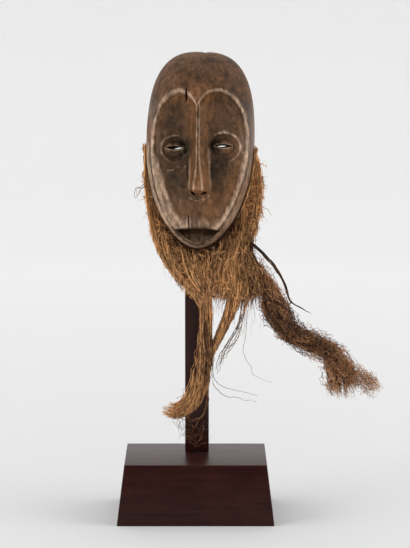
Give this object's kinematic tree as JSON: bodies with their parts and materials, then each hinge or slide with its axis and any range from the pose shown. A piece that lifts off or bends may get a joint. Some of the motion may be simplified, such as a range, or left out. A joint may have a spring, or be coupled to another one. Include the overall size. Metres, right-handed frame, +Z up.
{
  "type": "miniature wooden mask with fibre beard on a display stand",
  "caption": "Small carved wooden heart-faced mask with slit eyes and a plant-fibre beard, held up by a flat wooden post on a block.",
  "frame": {"origin": "centre of the underside of the stand's block", "axes": "+Z up, -Y the way the face looks, +X towards the viewer's right"},
  "size_m": [0.199, 0.0882, 0.348],
  "materials": {
    "mask_wood": "worn satin, dark patina in the hollows and pale residue on the carved edges",
    "golden_fibre": "dry golden-brown plant fibre, loose strands",
    "dark_fibre": "dry dark brown frizzy plant fibre",
    "stand_wood": "dark stained wood, satin"
  },
  "bodies": {
    "root": {"mask": "mask_wood", "beard_ruff": "golden_fibre", "beard_long_tress": "golden_fibre", "beard_short_tress": "golden_fibre", "beard_dark_tail": "dark_fibre", "beard_dark_strand": "dark_fibre", "post": "stand_wood", "base_block": "stand_wood"}
  },
  "joints": []
}
